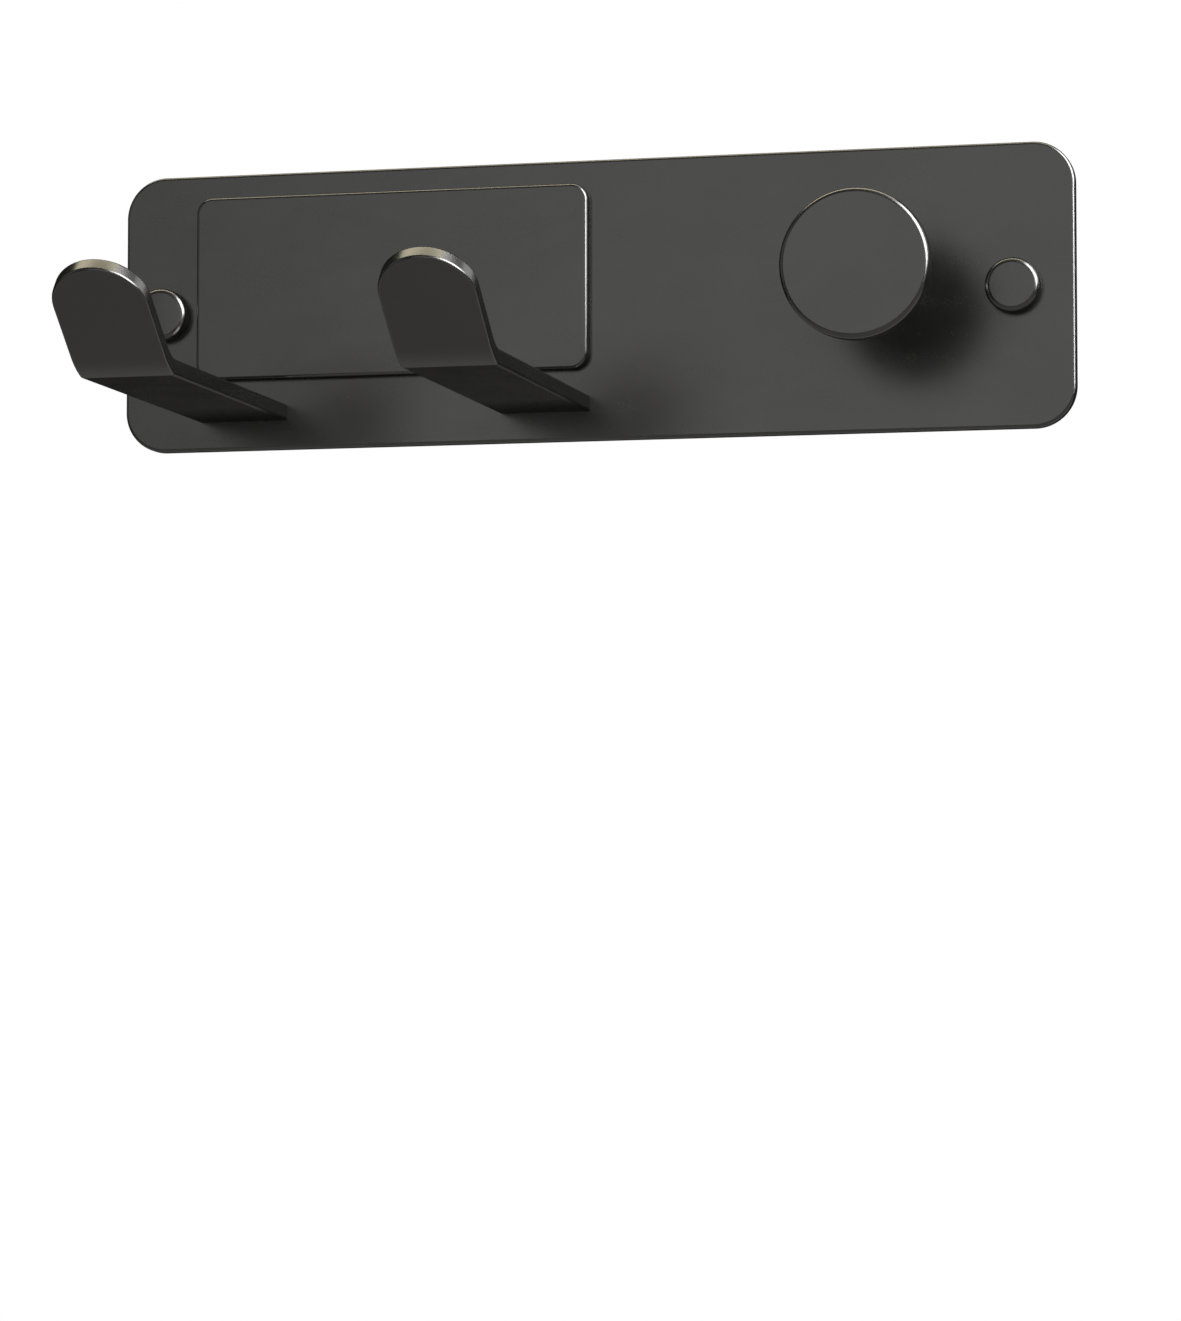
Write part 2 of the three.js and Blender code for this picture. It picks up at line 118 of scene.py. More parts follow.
# The wood screw's thread, which starts a little past the plain neck and ends short of the tip.
WOOD_PITCH = 1.8
WOOD_THREAD_START = 0.8
WOOD_TIP_GAP = 0.1

# Shares: of the pitch for a thread's depth, slope and flat top, of the flats at a socket's
# floor, of the reach at a cross's floor, and of a wood screw's radius at its root, its neck
# and the blunt end of its point.
THREAD_DEPTH = 0.54
THREAD_FLANK = 0.3
THREAD_CREST = 0.12
SOCKET_TAPER = 0.96
CROSS_TAPER = 0.45
WOOD_ROOT = 0.68
WOOD_NECK = 0.94
WOOD_BLUNT = 0.06

# The parts that come in pairs.
SIDES = ("left", "right")
ARM_SCREW_NODES = [f"{side}_arm_screw_{place}" for side in SIDES for place in ("outer", "inner")]

# The black coat. It reflects as a metal does, less brightly where it is seen at a low angle.
COAT_DARK = (0.194, 0.193, 0.190)
COAT_LIGHT = (0.219, 0.218, 0.214)
COAT_SPECK = (0.23, 0.23, 0.225)
COAT_METALLIC = 1.0
COAT_ROUGHNESS = 0.25
COAT_EDGE_TINT = (0.45, 0.45, 0.45)

# The floor turns to the white backdrop over a range of distances. Its reflected glow rises
# over a range of Y and dies away over a range of distances.
FLOOR_Z = -420
FLOOR_SIZE = 40000
FLOOR_FADE = (800, 2500)
FLOOR_GLOW = 0.17
FLOOR_GLOW_BEHIND = 0.36
FLOOR_GLOW_RISE = (0, 350)
FLOOR_GLOW_FADE = (1100, 1800)
ROOM_GLOW = 0.05

# The camera's place and the direction that it looks in.
CAMERA_PLACE = (277.3, -1139.5, -172.0)
CAMERA_LOOK = (-0.23626, 0.96899, 0.07240)
CAMERA_LENS = 133.5

# How finely curves are divided.
LARGE_ROUND = 192
MEDIUM_ROUND = 96
THREAD_ROUND = 24
MACHINE_ROUND = 16
CORNER_STEPS = 32
ARC_STEPS = 10
CAP_RIM_STEPS = 16
SMALL_ARC_STEPS = 4
BEND_STEPS = 32
TIP_STEPS = 48

# How far a cutter runs past the face that it cuts, and the turn that makes an edge sharp.
OVERCUT = 1
SHARP_TURN = math.radians(32)

scene = bpy.context.scene


# ---------------------------------------------------------------- mesh helpers


def box_of(node):
    """The lowest and highest corners of a part of the frame, in millimetres."""
    low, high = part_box(node)
    return low / MM, high / MM


def new_object(name, builder):
    """An object from a bmesh in millimetres, with its faces turned outwards."""
    bmesh.ops.recalc_face_normals(builder, faces=builder.faces)
    for vertex in builder.verts:
        vertex.co *= MM
    mesh = bpy.data.meshes.new(name)
    builder.to_mesh(mesh)
    builder.free()
    thing = bpy.data.objects.new(name, mesh)
    scene.collection.objects.link(thing)
    return thing


def bridge(builder, ring, other):
    """Faces between two rings. Their counts are equal, or one count divides the other."""
    if len(ring) < len(other):
        ring, other = other, ring
    share = len(ring) // len(other)
    for i, corner in enumerate(other):
        near = [ring[(i * share + k) % len(ring)] for k in range(share + 1)]
        if len(other) == 1:
            for a, b in zip(near, near[1:]):
                builder.faces.new((a, b, corner))
        else:
            following = other[(i + 1) % len(other)]
            builder.faces.new(near + [following, corner])


def skin(name, rings, loop=False):
    """A closed surface through rings of points. A ring of one point closes an end."""
    builder = bmesh.new()
    rows = [[builder.verts.new(point) for point in ring] for ring in rings]
    for ring, other in zip(rows, rows[1:]):
        bridge(builder, ring, other)
    if loop:
        bridge(builder, rows[-1], rows[0])
    else:
        for end in (rows[0], rows[-1]):
            if len(end) > 1:
                builder.faces.new(end)
    return new_object(name, builder)


def circle(centre, y, radius, count, shape=None, reach=1.0):
    """A ring about an axis along Y. The shape function gives its radius at an angle."""
    if radius == 0:
        return [(centre[0], y, centre[1])]
    ring = []
    for i in range(count):
        angle = 2 * math.pi * i / count
        out = radius if shape is None else shape(angle, reach)
        ring.append((centre[0] + out * math.cos(angle), y, centre[1] + out * math.sin(angle)))
    return ring


def turned(name, centre, profile, count, loop=False):
    """A surface turned about an axis along Y, through points given as (radius, y)."""
    rings = [circle(centre, y, radius, count) for radius, y in profile]
    return skin(name, rings, loop)


def arc(middle_radius, middle_y, radius, start, end, steps=ARC_STEPS):
    """Points (radius, y) of an arc in a turned profile."""
    points = []
    for i in range(steps + 1):
        angle = start + (end - start) * i / steps
        points.append((middle_radius + radius * math.cos(angle),
                       middle_y + radius * math.sin(angle)))
    return points


def middle_of(low, high):
    """Where an axis along Y through a box's middle meets the XZ plane."""
    return (low.x + high.x) / 2, (low.z + high.z) / 2


def carve(thing, cutters):
    """Cuts the cutters out of a body and removes them."""
    for cutter in cutters:
        modifier = thing.modifiers.new("cut", "BOOLEAN")
        modifier.operation = "DIFFERENCE"
        modifier.solver = "EXACT"
        modifier.object = cutter
    graph = bpy.context.evaluated_depsgraph_get()
    cut_mesh = bpy.data.meshes.new_from_object(thing.evaluated_get(graph))
    thing.modifiers.clear()
    thing.data = cut_mesh
    for cutter in cutters:
        bpy.data.objects.remove(cutter)
    return thing


def settle(thing, node, body, finish):
    """Shades a piece, gives it its finish and puts it in the place of a part of the frame."""
    thing.data.shade_smooth()
    thing.data.set_sharp_from_angle(angle=SHARP_TURN)
    modifier = thing.modifiers.new("even_normals", "WEIGHTED_NORMAL")
    modifier.keep_sharp = True
    slot_name, material = finish
    thing.data.materials.clear()
    thing.data.materials.append(material)
    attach(thing, body)
    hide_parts(node)
    return thing


# ---------------------------------------------------------------- sheets


def round_corners(low, high, radius, inset, y):
    """A ring with round corners in the XZ plane, moved in from a box's sides."""
    ring = []
    bend = radius - inset
    signs = ((1, 1), (-1, 1), (-1, -1), (1, -1))
    for quarter, (right, up) in enumerate(signs):
        x = (high.x if right > 0 else low.x) - right * radius
        z = (high.z if up > 0 else low.z) - up * radius
        for i in range(CORNER_STEPS + 1):
            angle = QUARTER * (quarter + i / CORNER_STEPS)
            ring.append((x + bend * math.cos(angle), y, z + bend * math.sin(angle)))
    return ring


def sheet(name, node, corner_radius, front_round, back_round):
    """A flat sheet in the XZ plane with round corners and round edges."""
    low, high = box_of(node)
    rings = []
    for i in range(ARC_STEPS + 1):
        angle = QUARTER * i / ARC_STEPS
        inset = back_round * (1 - math.sin(angle))
        y = high.y - back_round * (1 - math.cos(angle))
        rings.append(round_corners(low, high, corner_radius, inset, y))
    for i in range(ARC_STEPS + 1):
        angle = QUARTER * i / ARC_STEPS
        inset = front_round * (1 - math.cos(angle))
        y = low.y + front_round * (1 - math.sin(angle))
        rings.append(round_corners(low, high, corner_radius, inset, y))
    return skin(name, rings)


def countersink(node, size):
    """A cutter for the hole that a countersunk screw needs through the plate."""
    plate_low, plate_high = box_of("back_plate")
    radius = size["diameter"] / 2 + SCREW_CLEARANCE
    head = size["head"] / 2 + SCREW_CLEARANCE
    cone = plate_high.y - HEAD_SINK - HEAD_RIM
    profile = [
        (0, plate_low.y - OVERCUT),
        (radius, plate_low.y - OVERCUT),
        (radius, cone - (head - radius)),
        (head, cone),
        (head, plate_high.y + OVERCUT),
        (0, plate_high.y + OVERCUT),
    ]
    return turned("cutter", middle_of(*box_of(node)), profile, MEDIUM_ROUND)


def straight_hole(node, diameter, low_y, high_y):
    """A cutter for a plain hole along Y on a part's axis."""
    radius = diameter / 2
    profile = [(0, low_y), (radius, low_y), (radius, high_y), (0, high_y)]
    return turned("cutter", middle_of(*box_of(node)), profile, MEDIUM_ROUND)


def back_plate():
    plate = sheet("back_plate_fine", "back_plate", PLATE_CORNER_RADIUS, FRONT_EDGE_ROUND,
                  BACK_EDGE_ROUND)
    low, high = box_of("back_plate")
    cutters = [countersink(node, M2_5) for node in ARM_SCREW_NODES]
    cutters.append(countersink("cord_post_screw", M4))
    for side in SIDES:
        cutters.append(straight_hole(f"{side}_wall_screw", WALL_HOLE_DIAMETER,
                                     low.y - OVERCUT, high.y + OVERCUT))
    return carve(plate, cutters)


# ---------------------------------------------------------------- arms


def under_bend(slope):
    """How far the underside has gone (out, up) when it has turned to a slope.

    It turns in a tight crease first and in a wide curve after it.
    """
    crease = min(slope, ARM_CREASE_SLOPE)
    wide_out = ARM_OUTER_BEND * (math.sin(slope) - math.sin(crease))
    wide_up = ARM_OUTER_BEND * (math.cos(crease) - math.cos(slope))
    out = ARM_CREASE_BEND * math.sin(crease) + wide_out
    up = ARM_CREASE_BEND * (1 - math.cos(crease)) + wide_up
    return out, up


def top_bend(slope):
    """How far the top has gone (out, up) when it has turned to a slope, in one even curve."""
    return ARM_INNER_BEND * math.sin(slope), ARM_INNER_BEND * (1 - math.cos(slope))


def arm_stations(low, high):
    """Places along the bar, each a point (out, up) on its underside and one on its top.

    Out is measured from the plate's face and up from the bar's underside. The bar runs
    straight, bends up by the tab's slope and runs on to the middle of its round end.
    """
    run = math.cos(ARM_TAB_SLOPE)
    rise = math.sin(ARM_TAB_SLOPE)
    tab_length = (high.z - low.z - ARM_THICKNESS * run) / rise
    under_corner = high.y - low.y - tab_length * run
    top_corner = under_corner - ARM_THICKNESS * math.tan(ARM_TAB_SLOPE / 2)

    def bend_points(bend, corner, height):
        end_out, end_up = bend(ARM_TAB_SLOPE)
        start = corner - end_out + end_up * run / rise
        points = []
        for i in range(BEND_STEPS + 1):
            out, up = bend(ARM_TAB_SLOPE * i / BEND_STEPS)
            points.append((start + out, height + up))
        return points

    under = bend_points(under_bend, under_corner, 0)
    top = bend_points(top_bend, top_corner, ARM_THICKNESS)
    straight = tab_length - (high.x - low.x) / 2
    last = (under_corner + straight * run, straight * rise)
    last_top = (last[0] - ARM_THICKNESS * rise, last[1] + ARM_THICKNESS * run)
    root = ((0, 0), (0, ARM_THICKNESS))
    return [root, *zip(under, top), (last, last_top)]


def arm_levels():
    """(inset, height) from the underside's edge to the top's edge, round both edges."""
    levels = []
    for i in range(ARC_STEPS + 1):
        angle = QUARTER * i / ARC_STEPS
        levels.append((ARM_EDGE_ROUND * (1 - math.sin(angle)),
                       ARM_EDGE_ROUND * (1 - math.cos(angle))))
    upper = [(inset, ARM_THICKNESS - height) for inset, height in reversed(levels)]
    return levels + upper


def arm(name, node, screws):
    """A flat bar, bent up near its end, with a half-round end and round edges all along."""
    low, high = box_of(node)
    middle = (low.x + high.x) / 2
    half = (high.x - low.x) / 2
    stations = arm_stations(low, high)
    builder = bmesh.new()

    def vertex(station, along, aside, height):
        under, top = station
        share = height / ARM_THICKNESS
        out = under[0] + (top[0] - under[0]) * share + along * math.cos(ARM_TAB_SLOPE)
        up = under[1] + (top[1] - under[1]) * share + along * math.sin(ARM_TAB_SLOPE)
        return builder.verts.new((middle + aside, high.y - out, low.z + up))

    rights, lefts = [], []
    for inset, height in arm_levels():
        right, left = [], []
        for station in stations:
            right.append(vertex(station, 0, half - inset, height))
            left.append(vertex(station, 0, inset - half, height))
        for i in range(1, TIP_STEPS):
            angle = QUARTER * i / TIP_STEPS
            along = (half - inset) * math.sin(angle)
            aside = (half - inset) * math.cos(angle)
            right.append(vertex(stations[-1], along, aside, height))
            left.append(vertex(stations[-1], along, -aside, height))
        tip = vertex(stations[-1], half - inset, 0, height)
        rights.append(right + [tip])
        lefts.append(left + [tip])

    for side in (rights, lefts):
        for lower, upper in zip(side, side[1:]):
            for i in range(len(lower) - 1):
                builder.faces.new((lower[i], lower[i + 1], upper[i + 1], upper[i]))
    for right, left in ((rights[0], lefts[0]), (rights[-1], lefts[-1])):
        for i in range(len(right) - 2):
            builder.faces.new((right[i], right[i + 1], left[i + 1], left[i]))
        builder.faces.new((right[-2], right[-1], left[-2]))
    root = [side[0] for side in rights] + [side[0] for side in reversed(lefts)]
    builder.faces.new(root)

    bar = new_object(name, builder)
    holes = []
    for screw in screws:
        screw_low, screw_high = box_of(screw)
        holes.append(straight_hole(screw, M2_5["diameter"] + 2 * THREAD_CLEARANCE,
                                   screw_low.y - OVERCUT, high.y + OVERCUT))
    return carve(bar, holes)


# ---------------------------------------------------------------- cord post and knob


def cord_post():
    """The round post, with a threaded hole in each end."""
    low, high = box_of("cord_post")
    radius = (high.x - low.x) / 2
    hole = M4["diameter"] / 2 + THREAD_CLEARANCE
    stud_end = box_of("cord_knob_stud")[1].y + STUD_END_GAP
    screw_end = box_of("cord_post_screw")[0].y - OVERCUT
    profile = [
        (0, stud_end),
        (hole, stud_end),
        (hole, low.y),
        *arc(radius - POST_END_ROUND, low.y + POST_END_ROUND, POST_END_ROUND, -QUARTER, 0),
        (radius, high.y),
        (hole, high.y),
        (hole, screw_end),
        (0, screw_end),
    ]
    return turned("cord_post_fine", middle_of(low, high), profile, MEDIUM_ROUND)


def cord_knob():
    """The disc on the post's end, its front rim more round than its back."""
    low, high = box_of("cord_knob")
    radius = (high.x - low.x) / 2
    hole = M4["diameter"] / 2 + THREAD_CLEARANCE
    hole_end = high.y - STUD_IN_KNOB - STUD_END_GAP
    front = arc(radius - KNOB_RIM_ROUND, low.y + KNOB_RIM_ROUND, KNOB_RIM_ROUND, -QUARTER, 0)
    back = arc(radius - KNOB_BACK_ROUND, high.y - KNOB_BACK_ROUND, KNOB_BACK_ROUND, 0, QUARTER)
    profile = [(0, low.y), *front, *back, (hole, high.y), (hole, hole_end), (0, hole_end)]
    return turned("cord_knob_fine", middle_of(low, high), profile, LARGE_ROUND)


# ---------------------------------------------------------------- screws


def thread_rings(centre, start, end, root, crest, pitch, count, taper=None):
    """Rings of a thread along Y from start to end, with one row to each step of the turn.

    The thread rises from the root over its first turn and dies away over its last one.
    The taper function gives the radius's share at a place, which makes a point.
    """
    step = pitch / count
    rows = max(int(abs(end - start) / step), 2)
    way = 1 if end > start else -1
    rings = []
    for row in range(rows + 1):
        y = start + (end - start) * row / rows
        turns_in = abs(y - start) / pitch
        turns_left = abs(end - y) / pitch
        swell = min(turns_in, turns_left if taper is None else 1, 1)
        share = 1 if taper is None else taper(y)
        ring = []
        for i in range(count):
            phase = (row - way * i) / count % 1
            height = thread_form(phase) * swell
            radius = (root + (crest - root) * height) * share
            angle = 2 * math.pi * i / count
            ring.append((centre[0] + radius * math.cos(angle), y,
                         centre[1] + radius * math.sin(angle)))
        rings.append(ring)
    return rings


def thread_form(phase):
    """How high the thread stands over its root, from 0 to 1, along one pitch."""
    distance = abs(phase - 0.5)
    return max(0.0, min(1.0, 1 - (distance - THREAD_CREST / 2) / THREAD_FLANK))


def hexagon(angle, flats):
    """The radius of a hexagon, flats across, at an angle."""
    sixth = math.pi / 3
    return flats / 2 / math.cos(angle % sixth - sixth / 2)


def cross(angle, reach):
    """The radius of a four-armed recess at an angle."""
    off = abs((angle + QUARTER / 2) % QUARTER - QUARTER / 2)
    if off <= CROSS_CORNER:
        return reach / math.cos(off)
    return reach * math.tan(CROSS_CORNER) / math.sin(off)


def countersunk_screw(name, node, size):
    """A countersunk machine screw with its head towards +Y and a hexagon socket."""
    low, high = box_of(node)
    centre = middle_of(low, high)
    radius = size["diameter"] / 2
    head = size["head"] / 2
    root = radius - THREAD_DEPTH * size["pitch"]
    cone_end = high.y - HEAD_RIM - (head - radius)
    socket_floor = high.y - radius
    flats = size["socket"]
    rings = [
        circle(centre, socket_floor - SOCKET_POINT, 0, 1),
        circle(centre, socket_floor, 1, MEDIUM_ROUND, hexagon, flats * SOCKET_TAPER),
        circle(centre, high.y - HEAD_EDGE, 1, MEDIUM_ROUND, hexagon, flats),
        circle(centre, high.y, 1, MEDIUM_ROUND, hexagon, flats + 2 * HEAD_EDGE),
        circle(centre, high.y, head - HEAD_EDGE, MEDIUM_ROUND),
        circle(centre, high.y - HEAD_EDGE, head, MEDIUM_ROUND),
        circle(centre, high.y - HEAD_RIM, head, MEDIUM_ROUND),
        circle(centre, cone_end, radius, MACHINE_ROUND),
    ]
    tip = low.y + size["pitch"]
    rings += thread_rings(centre, cone_end - NECK_LENGTH, tip, root, radius, size["pitch"],
                          MACHINE_ROUND)
    rings.append(circle(centre, low.y, root - TIP_CHAMFER, MACHINE_ROUND))
    return skin(name, rings)


def knob_stud():
    """A headless threaded stud with chamfered ends."""
    low, high = box_of("cord_knob_stud")
    centre = middle_of(low, high)
    radius = M4["diameter"] / 2
    root = radius - THREAD_DEPTH * M4["pitch"]
    rings = [circle(centre, low.y, root - STUD_CHAMFER, MACHINE_ROUND)]
    rings += thread_rings(centre, low.y + STUD_CHAMFER, high.y - STUD_CHAMFER, root, radius,
                          M4["pitch"], MACHINE_ROUND)
    rings.append(circle(centre, high.y, root - STUD_CHAMFER, MACHINE_ROUND))
    return skin("cord_knob_stud_fine", rings)


def wall_screw(side):
    """A round-rimmed head with a cross recess, a plain neck, a coarse thread and a point."""
    node = f"{side}_wall_screw"
    low, high = box_of(node)
    centre = middle_of(low, high)
    radius = WALL_SCREW_DIAMETER / 2
    root = radius * WOOD_ROOT
    head = (high.x - low.x) / 2
    seat = low.y + WALL_SCREW_HEAD_HEIGHT
    neck_end = seat + WALL_SCREW_PLAIN
    edge = WALL_SCREW_HEAD_EDGE
    rings = [
        circle(centre, low.y + CROSS_DEPTH + CROSS_POINT, 0, 1),
        circle(centre, low.y + CROSS_DEPTH, 1, MEDIUM_ROUND, cross, CROSS_REACH * CROSS_TAPER),
        circle(centre, low.y + edge, 1, MEDIUM_ROUND, cross, CROSS_REACH - edge),
        circle(centre, low.y, 1, MEDIUM_ROUND, cross, CROSS_REACH),
    ]
    rim = arc(head - WALL_SCREW_HEAD_ROUND, low.y + WALL_SCREW_HEAD_ROUND,
              WALL_SCREW_HEAD_ROUND, -QUARTER, 0)
    rim += [(head, seat - edge), (head - edge, seat)]
    rings += [circle(centre, y, out, MEDIUM_ROUND) for out, y in rim]
    rings.append(circle(centre, seat, radius * WOOD_NECK, THREAD_ROUND))
    rings.append(circle(centre, neck_end, radius * WOOD_NECK, THREAD_ROUND))

    def narrowing(y):
        return min(1.0, (high.y - y) / WALL_SCREW_POINT + WOOD_BLUNT)

    rings += thread_rings(centre, neck_end + WOOD_THREAD_START, high.y - WOOD_TIP_GAP, root,
                          radius, WOOD_PITCH, THREAD_ROUND, narrowing)
    rings.append(circle(centre, high.y, 0, 1))
    return skin(f"{node}_fine", rings)


# ---------------------------------------------------------------- wall fixings


def cap_base(side):
    """The base washer, with a round bead that the cap clips over."""
    node = f"{side}_cap_base"
    low, high = box_of(node)
    radius = (high.x - low.x) / 2
    hole = WALL_HOLE_DIAMETER / 2
    bead = BASE_BEAD
    profile = [
        (hole, low.y + bead / 2),
        (hole + bead / 2, low.y),
        *arc(radius - bead, low.y + bead, bead, -QUARTER, 0),
        *arc(radius - bead, high.y - bead, bead, 0, QUARTER),
        (hole, high.y),
    ]
    return turned(f"{node}_fine", middle_of(low, high), profile, MEDIUM_ROUND, loop=True)


def screw_cap(side):
    """The cap: a cup with a round rim that clips over the base and clears the head."""
    node = f"{side}_screw_cap"
    low, high = box_of(node)
    base_low, base_high = box_of(f"{side}_cap_base")
    screw_low, screw_high = box_of(f"{side}_wall_screw")
    radius = (high.x - low.x) / 2
    mouth = (base_high.x - base_low.x) / 2 + CAP_CLEARANCE
    recess = (screw_high.x - screw_low.x) / 2 + CAP_HEAD_CLEARANCE
    step = base_low.y - CAP_STEP_GAP
    ceiling = low.y + CAP_WALL
    rim = CAP_RIM_ROUND
    lip = CAP_MOUTH_ROUND
    inner = CAP_INNER_ROUND
    profile = [
        (0, low.y),
        *arc(radius - rim, low.y + rim, rim, -QUARTER, 0, CAP_RIM_STEPS),
        *arc(radius - lip, high.y - lip, lip, 0, QUARTER, SMALL_ARC_STEPS),
        (mouth, high.y),
        (mouth, step),
        (recess, step),
        *arc(recess - inner, ceiling + inner, inner, 0, -QUARTER, SMALL_ARC_STEPS),
        (0, ceiling),
    ]
    return turned(f"{node}_fine", middle_of(low, high), profile, LARGE_ROUND)


def wall_plug(side):
    """The plug: a sleeve with saw-tooth ridges outside, split lengthways from its far end."""
    node = f"{side}_wall_plug"
    low, high = box_of(node)
    centre = middle_of(low, high)
    radius = (high.x - low.x) / 2
    bore = PLUG_BORE / 2
    lip = PLUG_LIP
    profile = [(bore + lip, low.y)]
    profile += arc(radius - lip, low.y + lip, lip, -QUARTER, 0, SMALL_ARC_STEPS)
    y = low.y + PLUG_RIDGE_PITCH
    while y < high.y - PLUG_RIDGE_PITCH:
        profile.append((radius, y - lip))
        profile.append((radius - lip / 3, y))
        profile.append((radius - PLUG_RIDGE_DEPTH, y + PLUG_RIDGE_FOOT))
        y += PLUG_RIDGE_PITCH
    profile.append((radius, y - lip))
    profile.append((radius - lip / 3, y))
    profile.append((radius - PLUG_RIDGE_DEPTH - lip, high.y))
    profile.append((bore, high.y))
    profile.append((bore, low.y + lip))
    sleeve = turned(f"{node}_fine", centre, profile, MEDIUM_ROUND, loop=True)
    across = radius + OVERCUT
    thick = PLUG_SLIT_WIDTH / 2
    rows = []
    for y in (high.y - PLUG_SLIT_LENGTH, high.y + OVERCUT):
        corners = ((-across, -thick), (across, -thick), (across, thick), (-across, thick))
        rows.append([(centre[0] + x, y, centre[1] + z) for x, z in corners])
    return carve(sleeve, [skin("cutter", rows)])


# ---------------------------------------------------------------- finishes


class Nodes:
    """A material's node tree, with short calls to add to it."""

    def __init__(self, name):
        self.material = bpy.data.materials.new(name)
        self.material.use_nodes = True
        self.tree = self.material.node_tree
        self.shader = self.tree.nodes["Principled BSDF"]
        place = self.tree.nodes.new("ShaderNodeTexCoord")
        self.place = place.outputs["Object"]

    def link(self, source, target):
        self.tree.links.new(source, target)

    def noise(self, scale, detail=2.0, roughness=0.5, stretch=None):
        """Noise in object space. Scale is in cycles to a metre."""
        node = self.tree.nodes.new("ShaderNodeTexNoise")
        node.inputs["Scale"].default_value = scale
        node.inputs["Detail"].default_value = detail
        node.inputs["Roughness"].default_value = roughness
        source = self.place
        if stretch is not None:
            mapping = self.tree.nodes.new("ShaderNodeMapping")
            mapping.inputs["Scale"].default_value = stretch
            self.link(self.place, mapping.inputs["Vector"])
            source = mapping.outputs["Vector"]
        self.link(source, node.inputs["Vector"])
        return node.outputs["Fac"]

    def remap(self, source, low, high, start=0.3, end=0.7):
        """A value brought from one range to another, and kept inside it."""
        node = self.tree.nodes.new("ShaderNodeMapRange")
        node.inputs["From Min"].default_value = start
        node.inputs["From Max"].default_value = end
        node.inputs["To Min"].default_value = low
        node.inputs["To Max"].default_value = high
        self.link(source, node.inputs["Value"])
        return node.outputs["Result"]

    def math(self, operation, first, second):
        node = self.tree.nodes.new("ShaderNodeMath")
        node.operation = operation
        for socket, value in zip(node.inputs, (first, second)):
            if isinstance(value, (int, float)):
                socket.default_value = value
            else:
                self.link(value, socket)
        return node.outputs["Value"]

    def blend(self, share, first, second):
        """A colour between two colours."""
        node = self.tree.nodes.new("ShaderNodeMix")
        node.data_type = "RGBA"
        self.link(share, node.inputs["Factor"])
        for socket, value in ((node.inputs[6], first), (node.inputs[7], second)):
            if isinstance(value, tuple):
                socket.default_value = (*value, 1)
            else:
                self.link(value, socket)
        return node.outputs[2]

    def bump(self, height, strength, distance):
        node = self.tree.nodes.new("ShaderNodeBump")
        node.inputs["Strength"].default_value = strength
        node.inputs["Distance"].default_value = distance
        self.link(height, node.inputs["Height"])
        return node.outputs["Normal"]

    def set(self, key, value):
        socket = self.shader.inputs[key]
        if isinstance(value, (int, float)):
            socket.default_value = value
        elif isinstance(value, tuple):
            socket.default_value = (*value, 1)
        else:
            self.link(value, socket)


def black_coat():
    """A smooth satin coat, dark and slightly warm, with a faint grain and faint handling marks."""
    nodes = Nodes("black_coat")
    cloud = nodes.noise(22, 3)
    grain = nodes.noise(2600, 2, 0.6)
    marks = nodes.noise(70, 4, 0.65, (1, 1, 2.5))
    tone = nodes.blend(nodes.remap(cloud, 0, 1), COAT_DARK, COAT_LIGHT)
    speck = nodes.blend(nodes.remap(grain, 0, 0.3), tone, COAT_SPECK)
    nodes.set("Base Color", speck)
    nodes.set("Metallic", COAT_METALLIC)
    nodes.set("Specular Tint", COAT_EDGE_TINT)
    smooth = nodes.remap(marks, COAT_ROUGHNESS - 0.015, COAT_ROUGHNESS + 0.02)
    rough = nodes.math("ADD", smooth, nodes.remap(grain, -0.01, 0.015))
    nodes.set("Roughness", rough)
    nodes.set("Normal", nodes.bump(grain, 0.01, 0.00002))
    return "black_coat", nodes.material


def black_steel():
    """Black oxide on a turned and threaded screw, worn a little."""
    nodes = Nodes("black_steel")
    oil = nodes.noise(500, 3, 0.6)
    scratch = nodes.noise(1500, 2, 0.5, (1, 6, 1))
    nodes.set("Base Color", nodes.blend(nodes.remap(oil, 0, 1), (0.03, 0.03, 0.033),
                                        (0.075, 0.072, 0.07)))
    nodes.set("Metallic", 0.9)
    nodes.set("Roughness", nodes.remap(scratch, 0.28, 0.45))
    nodes.set("Normal", nodes.bump(scratch, 0.2, 0.00003))
    return "black_steel", nodes.material


def zinc_steel():
    """Bright zinc plate: pale, with a faint blue and straw cast and fine turning marks."""
    nodes = Nodes("zinc_steel")
    cast = nodes.noise(260, 3, 0.6)
    scratch = nodes.noise(1800, 3, 0.6, (1, 8, 1))
    tint = nodes.blend(nodes.remap(cast, 0, 1), (0.56, 0.58, 0.62), (0.66, 0.63, 0.56))
    nodes.set("Base Color", tint)
    nodes.set("Metallic", 1.0)
    nodes.set("Roughness", nodes.remap(scratch, 0.2, 0.38))
    nodes.set("Normal", nodes.bump(scratch, 0.25, 0.00004))
    return "zinc_steel", nodes.material


def grey_nylon():
    """Moulded nylon: matt grey, with faint flow marks and a fine grain."""
    nodes = Nodes("grey_nylon")
    flow = nodes.noise(180, 4, 0.6, (1, 0.35, 1))
    grain = nodes.noise(3500, 2)
    tint = nodes.blend(nodes.remap(flow, 0, 1), (0.20, 0.205, 0.215), (0.27, 0.275, 0.285))
    nodes.set("Base Color", tint)
    nodes.set("Roughness", nodes.remap(grain, 0.45, 0.62))
    nodes.set("Normal", nodes.bump(grain, 0.3, 0.00005))
    return "grey_nylon", nodes.material


def adhesive_film():
    """Foam-backed film: off-white, soft and slightly mottled."""
    nodes = Nodes("adhesive_film")
    cell = nodes.noise(1400, 3, 0.6)
    tint = nodes.blend(nodes.remap(cell, 0, 1), (0.66, 0.63, 0.55), (0.80, 0.77, 0.70))
    nodes.set("Base Color", tint)
    nodes.set("Roughness", nodes.remap(cell, 0.5, 0.75))
    nodes.set("Normal", nodes.bump(cell, 0.4, 0.00008))
    return "adhesive_film", nodes.material


